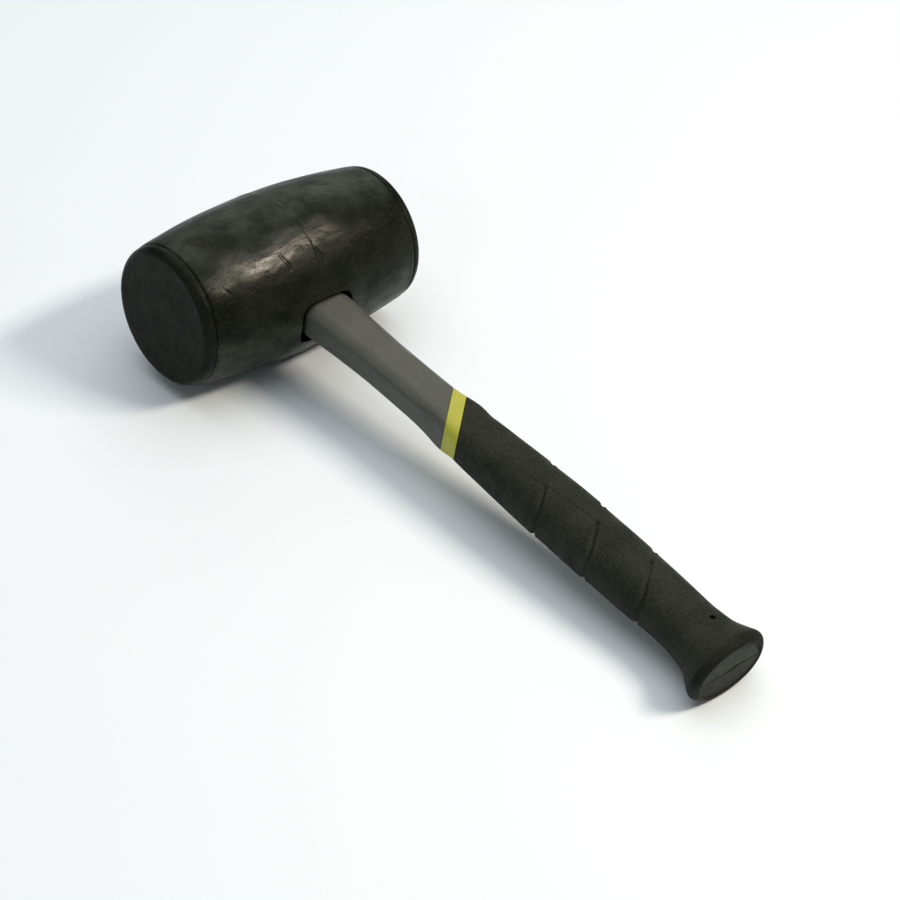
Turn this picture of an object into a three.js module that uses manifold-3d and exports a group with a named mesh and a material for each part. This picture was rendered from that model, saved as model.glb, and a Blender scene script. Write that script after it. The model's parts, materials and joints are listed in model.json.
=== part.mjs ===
// Rubber mallet: a barrel-shaped head of moulded rubber on a fibreglass-cored handle.
// Millimetres, +Z up. The mallet lies on its side: the head's belly and the underside of
// the handle's butt both touch z = 0, and the head's axis runs along X.
import * as THREE from 'three';
import { mergeVertices } from 'three/addons/utils/BufferGeometryUtils.js';
import Module from 'manifold-3d';

const wasm = await Module();
wasm.setup();

// ---------------------------------------------------------------------------------------
// Driving dimensions. A station is a distance from the head's axis toward the butt.
// ---------------------------------------------------------------------------------------
const GAP = 0.3;

const HEAD_LENGTH = 130;
const BELLY_RADIUS = 38.9;
const MOULD_LINE_RADIUS = 33.9;
const BEVEL_RADIUS = 33.5;
const FACE_RADIUS = 30.6;
const BEVEL_LENGTH = 5.4;
const FLASH_HEIGHT = 0.5;
const FLASH_HALF_WIDTH = 0.8;
const HEAD_SIDES = 64;

const EYE_HALF_WIDTH = 14.2;
const EYE_HALF_THICKNESS = 10.6;
const EYE_SQUARENESS = 4.5;
const BOND_DEPTH = 7;
const PLUG_THICKNESS = 6;
const PLUG_STATION = -37;

const TENON_HALF_WIDTH = 12.2;
const TENON_HALF_THICKNESS = 8.6;
const SHOULDER_STATION = 33;
const ROOT_LENGTH = 11;
const SPIGOT_HALF_WIDTH = 8.6;
const SPIGOT_HALF_THICKNESS = 6.2;
const SPIGOT_SQUARENESS = 2.6;
const CORE_RADIUS = 4.6;

const BAND_STATION = 126.9;
const BAND_LENGTH = 8.8;
const BAND_SLANT = THREE.MathUtils.degToRad(40);
// Nothing of the slanted band's ends lies farther than this from its station.
const BAND_REACH = 50;

const BUTT_STATION = 305.4;
const BUTT_ROUNDING = 7;
const BUTT_END_RATIO = 0.78;
const BUTT_ROUNDING_POWER = 2.2;
const SPIGOT_END_STATION = 288;
const CORE_END_STATION = 282;
const POCKET_DEPTH = 6;
const INSERT_RECESS = 0.3;
const INSERT_RIDGE = 1.5;
const INSERT_SHRINK = 1.2;
const INSERT_DROP = 0.6;

const GROOVE_SLANT = THREE.MathUtils.degToRad(35);
const GROOVE_WIDTH = 1.6;
const GROOVE_DEPTH = 1.0;
const GROOVE_STATIONS = [186, 218, 250.5];
const GROOVE_TOP_REACH = [-5, -0.5, 4];
const GROOVE_EDGE_REACH = 10.5;
const GROOVE_RUN = 40;
const PIN_HOLE_RADIUS = 1.3;
const PIN_HOLE_DEPTH = 2.6;
const PIN_HOLE_STATION = 286;
const PIN_HOLE_OFFSET = 3.2;

// Cutting blocks reach this far past the pieces that they cut.
const OVERCUT = 20;
const BLOCK_WIDTH = 900;
const BLOCK_HEIGHT = 200;

const SECTION_SIDES = 40;
const EYE_SIDES = 28;
const SPIGOT_SIDES = 24;
const CORE_SIDES = 16;
const BAR_SPACING = 22;
const SKIN_SPACING = 10;
const FLARE_STATION = 282;
const FLARE_SPACING = 2.4;

// ---------------------------------------------------------------------------------------
// Materials
// ---------------------------------------------------------------------------------------
function material(color, roughness) {
  return new THREE.MeshStandardMaterial({ color, roughness, metalness: 0 });
}

const HEAD_RUBBER = material(0x2b2e27, 0.62);
const GREY_PLASTIC = material(0x5b5c57, 0.5);
const BLACK_GRIP = material(0x373a33, 0.75);
const YELLOW_PLASTIC = material(0xbab74d, 0.45);
const BUTT_PLASTIC = material(0x4a5045, 0.5);
const FIBREGLASS = material(0xc9b98a, 0.4);
const EPOXY = material(0x3a3428, 0.35);

// ---------------------------------------------------------------------------------------
// Smooth profiles along the handle
// ---------------------------------------------------------------------------------------

// A curve through [station, value] points that never overshoots them.
function profile(points) {
  const slopes = points.map((point, i) => {
    const before = points[i - 1];
    const after = points[i + 1];
    if (!before || !after) {
      return 0;
    }
    const rise = (point[1] - before[1]) / (point[0] - before[0]);
    const next = (after[1] - point[1]) / (after[0] - point[0]);
    return rise * next > 0 ? (2 * rise * next) / (rise + next) : 0;
  });
  return (station) => {
    const last = points.length - 1;
    const clamped = THREE.MathUtils.clamp(station, points[0][0], points[last][0]);
    let i = 0;
    while (i < last - 1 && clamped > points[i + 1][0]) {
      i += 1;
    }
    const span = points[i + 1][0] - points[i][0];
    const t = (clamped - points[i][0]) / span;
    const startWeight = (1 + 2 * t) * (1 - t) ** 2;
    const endWeight = t * t * (3 - 2 * t);
    const startSlope = t * (1 - t) ** 2 * span * slopes[i];
    const endSlope = t * t * (t - 1) * span * slopes[i + 1];
    return startWeight * points[i][1] + endWeight * points[i + 1][1] + startSlope + endSlope;
  };
}

const HALF_WIDTH = profile([
  [36, 13.2], [60, 12.1], [85, 11.5], [112, 11.6], [150, 13.9], [204, 15.8],
  [245, 15.4], [275, 14.5], [289, 16.1], [298, 20.3], [BUTT_STATION, 24.6],
]);
const THICKNESS_RATIO = profile([[100, 0.71], [145, 0.78], [272, 0.78], [BUTT_STATION, 0.67]]);
const SIDEWAYS_CURVE = profile([
  [60, 1.2], [130, 0.1], [165, -0.7], [200, -1.6], [235, -2.9], [265, -4.1], [289, -6.1],
  [BUTT_STATION, -8.4],
]);
const SQUARENESS = profile([[104, 20], [140, 2.5], [BUTT_STATION, 2.15]]);
const CHAMFER_WEIGHT = profile([[104, 1], [140, 0]]);
const CHAMFER_REACH = 1.6;

// ---------------------------------------------------------------------------------------
// Solids
// ---------------------------------------------------------------------------------------

// The outline of a section: a rectangle with chamfered, softened corners where `square` is
// high and `chamfer` is 1, and an oval where `square` is near 2 and `chamfer` is 0.
function sectionPoint(angle, halfWidth, halfThickness, square, chamfer) {
  const across = Math.abs(Math.cos(angle));
  const up = Math.abs(Math.sin(angle));
  const corner = chamfer * ((across + up) / CHAMFER_REACH) ** square;
  const reach = (across ** square + up ** square + corner) ** (-1 / square);
  return [halfWidth * Math.cos(angle) * reach, halfThickness * Math.sin(angle) * reach];
}

// A closed solid through rings that share one number of points.
function loft(rings) {
  const sides = rings[0].length;
  const positions = rings.flat(2);
  const index = [];
  for (let ring = 0; ring < rings.length - 1; ring += 1) {
    for (let side = 0; side < sides; side += 1) {
      const next = (side + 1) % sides;
      const a = ring * sides + side;
      const b = ring * sides + next;
      index.push(a, b, a + sides, b, b + sides, a + sides);
    }
  }
  const lastRing = (rings.length - 1) * sides;
  for (let side = 1; side < sides - 1; side += 1) {
    index.push(0, side + 1, side);
    index.push(lastRing, lastRing + side, lastRing + side + 1);
  }
  const geometry = new THREE.BufferGeometry();
  geometry.setAttribute('position', new THREE.Float32BufferAttribute(positions, 3));
  geometry.setIndex(index);
  return geometry;
}

// One ring of the handle's skin, brought inward by `inset`.
function handleRing(station, inset) {
  const rounding = THREE.MathUtils.clamp((station - BUTT_STATION) / BUTT_ROUNDING + 1, 0, 1);
  const halfWidth = HALF_WIDTH(station) * (1 - (1 - BUTT_END_RATIO) * rounding ** BUTT_ROUNDING_POWER);
  const halfThickness = halfWidth * THICKNESS_RATIO(station);
  const ring = [];
  for (let side = 0; side < SECTION_SIDES; side += 1) {
    const angle = (2 * Math.PI * side) / SECTION_SIDES;
    const [x, z] = sectionPoint(
      angle, halfWidth - inset, halfThickness - inset, SQUARENESS(station), CHAMFER_WEIGHT(station),
    );
    ring.push([x + SIDEWAYS_CURVE(station), -station, z]);
  }
  return ring;
}

// Stations from `start` to `end`, with every multiple of `spacing` between them.
function stationsBetween(start, end, spacing) {
  const stations = [start];
  for (let station = Math.ceil((start + 1) / spacing) * spacing; station < end - 1; station += spacing) {
    stations.push(station);
  }
  stations.push(end);
  return stations;
}

// The handle's whole skin between two stations, with closer rings where it flares.
function handleBody(start, end, inset) {
  const flare = Math.min(end, FLARE_STATION);
  const stations = stationsBetween(start, flare, SKIN_SPACING);
  if (end > flare) {
    stations.push(...stationsBetween(flare, end, FLARE_SPACING).slice(1));
  }
  return loft(stations.map((station) => handleRing(station, inset)));
}

// A bar with one section that follows the handle's centreline.
function bar(start, end, halfWidth, halfThickness, square, sides) {
  const rings = stationsBetween(start, end, BAR_SPACING).map((station) => {
    const ring = [];
    for (let side = 0; side < sides; side += 1) {
      const angle = (2 * Math.PI * side) / sides;
      const [x, z] = sectionPoint(angle, halfWidth, halfThickness, square, 0);
      ring.push([x + SIDEWAYS_CURVE(station), -station, z]);
    }
    return ring;
  });
  return loft(rings);
}

// Everything on the butt side of a plane that crosses the handle at `station`, `slant`
// radians from square: the cut leans toward the head on the +X side.
function beyond(station, slant, length) {
  const block = new THREE.BoxGeometry(BLOCK_WIDTH, length, BLOCK_HEIGHT);
  block.translate(0, -length / 2, 0);
  block.rotateZ(slant);
  block.translate(SIDEWAYS_CURVE(station), -station, 0);
  return block;
}

function solid(geometry) {
  const bare = geometry.clone();
  bare.deleteAttribute('normal');
  bare.deleteAttribute('uv');
  const merged = mergeVertices(bare, 1e-4);
  const mesh = new wasm.Mesh({
    numProp: 3,
    vertProperties: new Float32Array(merged.attributes.position.array),
    triVerts: new Uint32Array(merged.index.array),
  });
  return new wasm.Manifold(mesh);
}

function geometryOf(manifold) {
  const mesh = manifold.getMesh();
  const geometry = new THREE.BufferGeometry();
  geometry.setAttribute('position', new THREE.BufferAttribute(mesh.vertProperties, 3));
  geometry.setIndex(new THREE.BufferAttribute(mesh.triVerts, 1));
  geometry.computeVertexNormals();
  return geometry;
}

function piece(name, manifold, surface) {
  const mesh = new THREE.Mesh(geometryOf(manifold), surface);
  mesh.name = name;
  return mesh;
}

// ---------------------------------------------------------------------------------------
// Head
// ---------------------------------------------------------------------------------------

// Radius of the belly at a distance x from the middle, without the flash.
function bellyRadius(x) {
  const mouldLine = HEAD_LENGTH / 2 - BEVEL_LENGTH;
  return BELLY_RADIUS - (BELLY_RADIUS - MOULD_LINE_RADIUS) * (x / mouldLine) ** 2;
}

// Half of the head's outline, from the middle of the belly to the centre of one face.
function headOutline() {
  const mouldLine = HEAD_LENGTH / 2 - BEVEL_LENGTH;
  const outline = [];
  outline.push(new THREE.Vector2(bellyRadius(0) + FLASH_HEIGHT, 0));
  outline.push(new THREE.Vector2(bellyRadius(FLASH_HALF_WIDTH), FLASH_HALF_WIDTH));
  for (let step = 1; step <= 7; step += 1) {
    const x = (mouldLine * step) / 7;
    outline.push(new THREE.Vector2(bellyRadius(x), x));
  }
  for (let step = 0; step <= 4; step += 1) {
    const turn = (Math.PI / 2) * (step / 4);
    const radius = FACE_RADIUS + (BEVEL_RADIUS - FACE_RADIUS) * Math.cos(turn);
    outline.push(new THREE.Vector2(radius, mouldLine + 0.4 + (BEVEL_LENGTH - 0.4) * Math.sin(turn)));
  }
  outline.push(new THREE.Vector2(0, HEAD_LENGTH / 2));
  return outline;
}

function barrel() {
  const right = headOutline();
  const left = right.slice(1).reverse().map((point) => new THREE.Vector2(point.x, -point.y));
  const lathe = new THREE.LatheGeometry([...left, ...right], HEAD_SIDES);
  lathe.rotateZ(-Math.PI / 2);
  return lathe;
}

function rubberHead() {
  const reach = BELLY_RADIUS + OVERCUT;
  const eye = bar(-reach, reach, EYE_HALF_WIDTH, EYE_HALF_THICKNESS, EYE_SQUARENESS, EYE_SIDES);
  return piece('rubber_head', solid(barrel()).subtract(solid(eye)), HEAD_RUBBER);
}

// Adhesive between the handle's tenon and the wall of the eye, open at both ends.
function eyeBond() {
  const start = PLUG_STATION + PLUG_THICKNESS + GAP;
  const end = SHOULDER_STATION - BOND_DEPTH;
  const outer = bar(
    start, end, EYE_HALF_WIDTH - GAP, EYE_HALF_THICKNESS - GAP, EYE_SQUARENESS, EYE_SIDES,
  );
  const inner = bar(
    start - OVERCUT, end + OVERCUT, TENON_HALF_WIDTH + GAP, TENON_HALF_THICKNESS + GAP,
    EYE_SQUARENESS, EYE_SIDES,
  );
  return piece('eye_bond', solid(outer).subtract(solid(inner)), EPOXY);
}

// Plug that closes the far mouth of the eye.
function eyePlug() {
  const end = PLUG_STATION + PLUG_THICKNESS;
  const plug = bar(
    PLUG_STATION, end, EYE_HALF_WIDTH - GAP, EYE_HALF_THICKNESS - GAP, EYE_SQUARENESS, EYE_SIDES,
  );
  return piece('eye_plug', solid(plug), BLACK_GRIP);
}

// ---------------------------------------------------------------------------------------
// Handle
// ---------------------------------------------------------------------------------------

// Grey jacket: a tenon in the eye, the bare shank, and a spigot under the band and grip.
function shankJacket() {
  const tenonStart = PLUG_STATION + PLUG_THICKNESS + GAP;
  const tenon = bar(
    tenonStart, SHOULDER_STATION + ROOT_LENGTH, TENON_HALF_WIDTH, TENON_HALF_THICKNESS,
    EYE_SQUARENESS, EYE_SIDES,
  );
  const bandStart = BAND_STATION - BAND_LENGTH / 2 - GAP / 2;
  const shank = solid(handleBody(SHOULDER_STATION, BAND_STATION + BAND_REACH, 0));
  const bareShank = shank.subtract(solid(beyond(bandStart, BAND_SLANT, BAND_REACH * 2)));
  const spigot = bar(
    BAND_STATION - BAND_REACH / 2, SPIGOT_END_STATION, SPIGOT_HALF_WIDTH, SPIGOT_HALF_THICKNESS,
    SPIGOT_SQUARENESS, SPIGOT_SIDES,
  );
  const bore = bar(
    tenonStart - OVERCUT, SPIGOT_END_STATION + OVERCUT, CORE_RADIUS + GAP, CORE_RADIUS + GAP, 2,
    CORE_SIDES,
  );
  const jacket = solid(tenon).add(bareShank).add(solid(spigot)).subtract(solid(bore));
  return piece('shank_jacket', jacket, GREY_PLASTIC);
}

// Glass-fibre rod down the middle of the jacket.
function handleCore() {
  const start = PLUG_STATION + PLUG_THICKNESS + GAP;
  const rod = bar(start, CORE_END_STATION, CORE_RADIUS, CORE_RADIUS, 2, CORE_SIDES);
  return piece('handle_core', solid(rod), FIBREGLASS);
}

function spigotClearance() {
  return solid(bar(
    BAND_STATION - BAND_REACH, SPIGOT_END_STATION + GAP, SPIGOT_HALF_WIDTH + GAP,
    SPIGOT_HALF_THICKNESS + GAP, SPIGOT_SQUARENESS, SPIGOT_SIDES,
  ));
}

// Yellow ring on a slant between the shank and the grip.
function accentBand() {
  const start = BAND_STATION - BAND_LENGTH / 2 + GAP / 2;
  const end = BAND_STATION + BAND_LENGTH / 2 - GAP / 2;
  const skin = solid(handleBody(BAND_STATION - BAND_REACH, BAND_STATION + BAND_REACH, 0));
  const ring = skin.intersect(solid(beyond(start, BAND_SLANT, BAND_REACH * 2)));
  const cut = ring.subtract(solid(beyond(end, BAND_SLANT, BAND_REACH * 2)));
  return piece('accent_band', cut.subtract(spigotClearance()), YELLOW_PLASTIC);
}

// A slanted slot in the grip's skin, kept only on one side of the handle.
function groove(station, side, reach) {
  const slot = new THREE.BoxGeometry(BLOCK_HEIGHT, GROOVE_WIDTH, BLOCK_HEIGHT);
  slot.rotateZ(GROOVE_SLANT);
  slot.translate(SIDEWAYS_CURVE(station), -station, 0);
  const floor = solid(handleBody(station - GROOVE_RUN, station + GROOVE_RUN, GROOVE_DEPTH));
  const keep = new THREE.BoxGeometry(GROOVE_RUN, GROOVE_RUN * 2, BLOCK_HEIGHT);
  keep.translate(SIDEWAYS_CURVE(station) + side * GROOVE_RUN / 2 + reach, -station, 0);
  return solid(slot).subtract(floor).intersect(solid(keep));
}

// Blind hole left in the grip by a locating pin of its mould.
function pinHole() {
  const hole = new THREE.CylinderGeometry(PIN_HOLE_RADIUS, PIN_HOLE_RADIUS, PIN_HOLE_DEPTH * 2, 16);
  hole.rotateX(Math.PI / 2);
  const halfWidth = HALF_WIDTH(PIN_HOLE_STATION);
  const top = halfWidth * THICKNESS_RATIO(PIN_HOLE_STATION);
  hole.translate(SIDEWAYS_CURVE(PIN_HOLE_STATION) + PIN_HOLE_OFFSET, -PIN_HOLE_STATION, top);
  return solid(hole);
}

// Oval pocket in the butt, or the plate that fills it: the butt's own outline, smaller and
// nearer the lower edge.
function buttOval(start, end, shrink) {
  const rings = [start, end].map((station) => {
    const lipWidth = HALF_WIDTH(BUTT_STATION) * BUTT_END_RATIO;
    const halfWidth = lipWidth - shrink;
    const halfThickness = lipWidth * THICKNESS_RATIO(BUTT_STATION) - shrink;
    const ring = [];
    for (let side = 0; side < SECTION_SIDES; side += 1) {
      const angle = (2 * Math.PI * side) / SECTION_SIDES;
      const [x, z] = sectionPoint(angle, halfWidth, halfThickness, SQUARENESS(BUTT_STATION), 0);
      ring.push([x + SIDEWAYS_CURVE(BUTT_STATION), -station, z - INSERT_DROP]);
    }
    return ring;
  });
  return loft(rings);
}

// Soft black grip, moulded over the spigot from the band to the butt.
function gripSleeve() {
  const start = BAND_STATION + BAND_LENGTH / 2 + GAP / 2;
  const skin = solid(handleBody(BAND_STATION - BAND_REACH, BUTT_STATION, 0));
  let grip = skin.intersect(solid(beyond(start, BAND_SLANT, BUTT_STATION)));
  grip = grip.subtract(spigotClearance());
  const pocketFloor = BUTT_STATION - POCKET_DEPTH;
  grip = grip.subtract(solid(buttOval(pocketFloor, BUTT_STATION + OVERCUT, INSERT_SHRINK)));
  GROOVE_STATIONS.forEach((station, i) => {
    grip = grip.subtract(groove(station, -1, GROOVE_TOP_REACH[i]));
    grip = grip.subtract(groove(station, 1, GROOVE_EDGE_REACH));
  });
  grip = grip.subtract(pinHole());
  return piece('grip_sleeve', grip, BLACK_GRIP);
}

// Plate in the butt's pocket; its outer face is two shallow slopes that meet in a ridge.
function buttInsert() {
  const start = BUTT_STATION - POCKET_DEPTH + GAP;
  const face = BUTT_STATION - INSERT_RECESS;
  let plate = solid(buttOval(start, face, INSERT_SHRINK + GAP));
  const lipThickness = HALF_WIDTH(BUTT_STATION) * BUTT_END_RATIO * THICKNESS_RATIO(BUTT_STATION);
  const slope = Math.atan2(INSERT_RIDGE, lipThickness);
  [1, -1].forEach((side) => {
    const trim = new THREE.BoxGeometry(BLOCK_HEIGHT, OVERCUT, BLOCK_HEIGHT);
    trim.translate(0, -OVERCUT / 2, (side * BLOCK_HEIGHT) / 2);
    trim.rotateX(-side * slope);
    trim.translate(SIDEWAYS_CURVE(BUTT_STATION), -face, 0);
    plate = plate.subtract(solid(trim));
  });
  return piece('butt_insert', plate, BUTT_PLASTIC);
}

// ---------------------------------------------------------------------------------------
// Assembly
// ---------------------------------------------------------------------------------------
const mallet = new THREE.Group();
mallet.add(
  rubberHead(), eyeBond(), eyePlug(), handleCore(), shankJacket(), accentBand(), gripSleeve(),
  buttInsert(),
);

// The handle tips down until the butt's underside is level with the belly's underside.
function lowestPoints(tip) {
  mallet.rotation.set(tip, 0, 0);
  mallet.position.set(0, 0, 0);
  mallet.updateMatrixWorld(true);
  const head = new THREE.Box3().setFromObject(mallet.getObjectByName('rubber_head'), true);
  const grip = new THREE.Box3().setFromObject(mallet.getObjectByName('grip_sleeve'), true);
  return { head: head.min.z, grip: grip.min.z };
}

let levelTip = 0;
let tooFar = 0.3;
for (let step = 0; step < 40; step += 1) {
  const middle = (levelTip + tooFar) / 2;
  const lowest = lowestPoints(middle);
  if (lowest.grip > lowest.head) {
    levelTip = middle;
  } else {
    tooFar = middle;
  }
}
lowestPoints(levelTip);

// The origin is the middle of the footprint, on the surface that the mallet lies on.
const box = new THREE.Box3().setFromObject(mallet, true);
const middle = box.getCenter(new THREE.Vector3());
mallet.position.set(-middle.x, -middle.y, -box.min.z);
mallet.updateMatrixWorld(true);

export default mallet;
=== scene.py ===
"""Rubber mallet: the looks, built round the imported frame.

Shapes are worked out in the mallet's own millimetres: x along the head's axis, y up the handle
through the head, z across the handle's thickness, with the origin at the head's centre. A station
is a distance from the head's axis toward the butt. PLACE turns all of it into the frame's metres.
"""

import json
import math

import bpy
from mathutils import Matrix, Vector, noise


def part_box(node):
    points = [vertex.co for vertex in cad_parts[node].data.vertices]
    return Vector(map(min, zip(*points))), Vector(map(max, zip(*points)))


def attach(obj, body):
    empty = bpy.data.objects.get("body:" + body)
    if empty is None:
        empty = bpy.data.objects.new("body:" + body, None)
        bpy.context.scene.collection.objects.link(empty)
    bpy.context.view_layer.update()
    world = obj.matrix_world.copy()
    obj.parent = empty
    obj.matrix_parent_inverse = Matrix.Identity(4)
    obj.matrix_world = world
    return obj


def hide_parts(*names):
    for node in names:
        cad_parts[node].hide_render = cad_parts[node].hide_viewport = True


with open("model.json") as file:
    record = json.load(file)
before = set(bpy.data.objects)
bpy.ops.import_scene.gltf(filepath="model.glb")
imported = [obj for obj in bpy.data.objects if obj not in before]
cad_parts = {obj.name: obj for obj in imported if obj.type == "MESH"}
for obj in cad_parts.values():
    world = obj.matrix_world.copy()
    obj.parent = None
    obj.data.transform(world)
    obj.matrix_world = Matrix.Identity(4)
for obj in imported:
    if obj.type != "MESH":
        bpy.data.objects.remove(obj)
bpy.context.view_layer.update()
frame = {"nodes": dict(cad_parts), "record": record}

MM = 0.001
faces = {m["name"]: Vector(m["pos_m"]) for m in frame["record"]["mounts"]}
head_centre = (faces["striking_face_left"] + faces["striking_face_right"]) / 2

# ---------------------------------------------------------------------------------------
# Driving dimensions, in millimetres
# ---------------------------------------------------------------------------------------
GAP = 0.3
# Seams that show are thinner than the CAD's gap, which would let the floor shine through.
SEAM = 0.05
INSERT_SEAM = 0.1

HALF_HEAD = (faces["striking_face_right"] - head_centre).length / MM
BELLY_RADIUS = 38.9
MOULD_LINE_RADIUS = 33.9
BEVEL_RADIUS = 33.5
FACE_RADIUS = 30.6
FACE_ROUNDING = 1.2
BEVEL_LENGTH = 5.4
BEVEL_LAND = 0.5
MOULD_LINE = HALF_HEAD - BEVEL_LENGTH
HEAD_SIDES = 320

EYE_HALF_WIDTH = 14.2
EYE_HALF_THICKNESS = 10.6
EYE_SQUARENESS = 4.5
EYE_MEAN_RADIUS = 12
EYE_SIDES = 96
EYE_CUTTER_REACH = 55
# On the handle's side the eye opens toward -X, and the rubber swells into a low lip round it.
EYE_MOUTH = 0.9
EYE_MOUTH_STATION = 31
LIP_WIDTH = 9
LIP_HEIGHT = 1.1

TENON_HALF_WIDTH = 12.2
TENON_HALF_THICKNESS = 8.6
TENON_START = -30.7
SHOULDER_STATION = 33
SHOULDER_ROUNDING = 0.6
PLUG_START = -37
PLUG_THICKNESS = 6
PLUG_ROUNDING = 0.7

SPIGOT_HALF_WIDTH = 8.6
SPIGOT_HALF_THICKNESS = 6.2
SPIGOT_SQUARENESS = 2.6
SPIGOT_END = 288
CORE_RADIUS = 4.6
# Inside the handle, straight rings keep at least this far from a slanted one.
SLANT_CLEARANCE = 20
INNER_SPACING = 8

HANDLE_SIDES = 240
# The chamfers cut the corners of a section where |x| + |z| passes this share of its half sizes.
CHAMFER_REACH = 1.6
# Where two pieces meet: distance from the edge, and how far the skin is drawn in there.
EDGE_INSETS = ((0, 0.25), (0.12, 0.06))
# The evenly spaced rings of the skin stop this far from the edge.
EDGE_CLEARANCE = 0.3

BAND_STATION = 126.9
BAND_LENGTH = 8.8
BAND_LEAN = math.tan(math.radians(40))

GROOVE_LEAN = math.tan(math.radians(35))
GROOVE_STATIONS = (186, 218, 250.5)
GROOVE_TOP_REACH = (-5, -0.5, 4)
GROOVE_EDGE_REACH = 10.5
GROOVE_DEPTH = 1.0
GROOVE_HALF_WIDTH = 0.68
PIT_RADIUS = 1.15
PIT_DEPTH = 0.75
PIN_HOLE_STATION = 286
PIN_HOLE_OFFSET = 3.2
PIN_HOLE_RADIUS = 1.3
PIN_HOLE_DEPTH = 2.6

BUTT_STATION = 305.4
BUTT_ROUNDING = 7
BUTT_END_RATIO = 0.78
BUTT_ROUNDING_POWER = 2.2
BUTT_HOLLOW_STATION = 302.6
POCKET_DEPTH = 6
INSERT_SHRINK = 1.2
# How far the insert and its pocket sit under the handle's axis.
INSERT_DROP = 0.6
INSERT_RECESS = 0.3
INSERT_EDGE = 0.5
INSERT_RIDGE = 1.5
LOWER_SLOPE = 0.3

# ---------------------------------------------------------------------------------------
# Where the mallet lies, in the frame's metres
# ---------------------------------------------------------------------------------------
insert_low, insert_high = (Vector(corner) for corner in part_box("butt_insert"))
insert_centre = (insert_low + insert_high) / 2
fall = head_centre.z - insert_centre.z
run = head_centre.y - insert_centre.y
tip = math.atan2(fall, run) - math.asin(INSERT_DROP * MM / math.hypot(fall, run))
PLACE = (
    Matrix.Translation(head_centre) @ Matrix.Rotation(tip, 4, "X") @ Matrix.Scale(MM, 4)
)
butt_end = PLACE @ Vector((0, -BUTT_STATION, 0))
# Where the handle comes out of the head.
mouth_y = head_centre.y - (BELLY_RADIUS - 0.1) * MM


# ---------------------------------------------------------------------------------------
# Profiles along the handle
# ---------------------------------------------------------------------------------------
def profile(*points):
    """A curve through (station, value) points that never overshoots them."""
    slopes = [0.0] * len(points)
    for i in range(1, len(points) - 1):
        rise = (points[i][1] - points[i - 1][1]) / (points[i][0] - points[i - 1][0])
        following = (points[i + 1][1] - points[i][1]) / (points[i + 1][0] - points[i][0])
        if rise * following > 0:
            slopes[i] = 2 * rise * following / (rise + following)

    def value(station):
        station = min(max(station, points[0][0]), points[-1][0])
        i = 0
        while i < len(points) - 2 and station > points[i + 1][0]:
            i += 1
        span = points[i + 1][0] - points[i][0]
        t = (station - points[i][0]) / span
        level = (1 + 2 * t) * (1 - t) ** 2 * points[i][1] + t * t * (3 - 2 * t) * points[i + 1][1]
        bend = t * (1 - t) ** 2 * slopes[i] + t * t * (t - 1) * slopes[i + 1]
        return level + span * bend

    return value


half_width = profile(
    (36, 13.2), (60, 12.1), (85, 11.5), (112, 11.6), (150, 13.9), (204, 15.8),
    (245, 15.4), (275, 14.5), (289, 16.1), (298, 20.3), (BUTT_STATION, 24.6),
)
thickness_ratio = profile((100, 0.71), (145, 0.78), (272, 0.78), (BUTT_STATION, 0.67))
sideways = profile(
    (60, 1.2), (130, 0.1), (165, -0.7), (200, -1.6), (235, -2.9), (265, -4.1), (289, -6.1),
    (BUTT_STATION, -8.4),
)
squareness = profile((104, 20), (140, 2.5), (BUTT_STATION, 2.15))
chamfer_weight = profile((104, 1), (140, 0))
band_shear = profile((70, 0), (105, 1), (150, 1), (180, 0))
# The faint crease along the grip's broad faces, past the upper ends of the grooves, as an x.
crease_line = profile((176, -7.5), (190, -4.4), (219, -0.6), (249, 3.6), (272, 5.5))


def smooth_step(low, high, value):
    """0 at `low`, 1 at `high` and smooth between them. `low` may be the larger one."""
    t = min(max((value - low) / (high - low), 0), 1)
    return t * t * (3 - 2 * t)


def bump_at(distance, width):
    """1 on a line, falling smoothly to 0 at about twice `width` from it."""
    return math.exp(-((distance / width) ** 2))


# ---------------------------------------------------------------------------------------
# Mesh making
# ---------------------------------------------------------------------------------------
def skin(name, rings, loop=False):
    """A closed mesh through rings of points. A loop joins the last ring back to the first."""
    sides = len(rings[0])
    vertices = [PLACE @ Vector(point) for ring in rings for point in ring]
    polygons = []
    for ring in range(len(rings) if loop else len(rings) - 1):
        here = ring * sides
        there = (ring + 1) % len(rings) * sides
        for side in range(sides):
            after = (side + 1) % sides
            polygons.append((here + side, here + after, there + after, there + side))
    if not loop:
        polygons.append(tuple(reversed(range(sides))))
        polygons.append(tuple(range((len(rings) - 1) * sides, len(rings) * sides)))
    mesh = bpy.data.meshes.new(name)
    mesh.from_pydata(vertices, [], polygons)
    mesh.validate()
    mesh.shade_smooth()
    piece = bpy.data.objects.new(name, mesh)
    bpy.context.collection.objects.link(piece)
    return piece


def crisp(piece, angle=38):
    """Keeps edges sharper than `angle` degrees crisp in the shading."""
    piece.data.set_sharp_from_angle(angle=math.radians(angle))


def section(angle, width, thickness, square, chamfer=0.0):
    """The (x, z) point at an angle round a superellipse, whose corners `chamfer` cuts off."""
    across, up = abs(math.cos(angle)), abs(math.sin(angle))
    corner = chamfer * ((across + up) / CHAMFER_REACH) ** square
    reach = (across**square + up**square + corner) ** (-1 / square)
    return width * math.cos(angle) * reach, thickness * math.sin(angle) * reach


def oval_ring(station, width, thickness, square, sides, lean=0.0):
    """A ring across the handle; `lean` slants it so that the +X side is nearer the head."""
    ring = []
    for side in range(sides):
        x, z = section(2 * math.pi * side / sides, width, thickness, square)
        ring.append((x + sideways(station), -(station - lean * x), z))
    return ring


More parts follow.
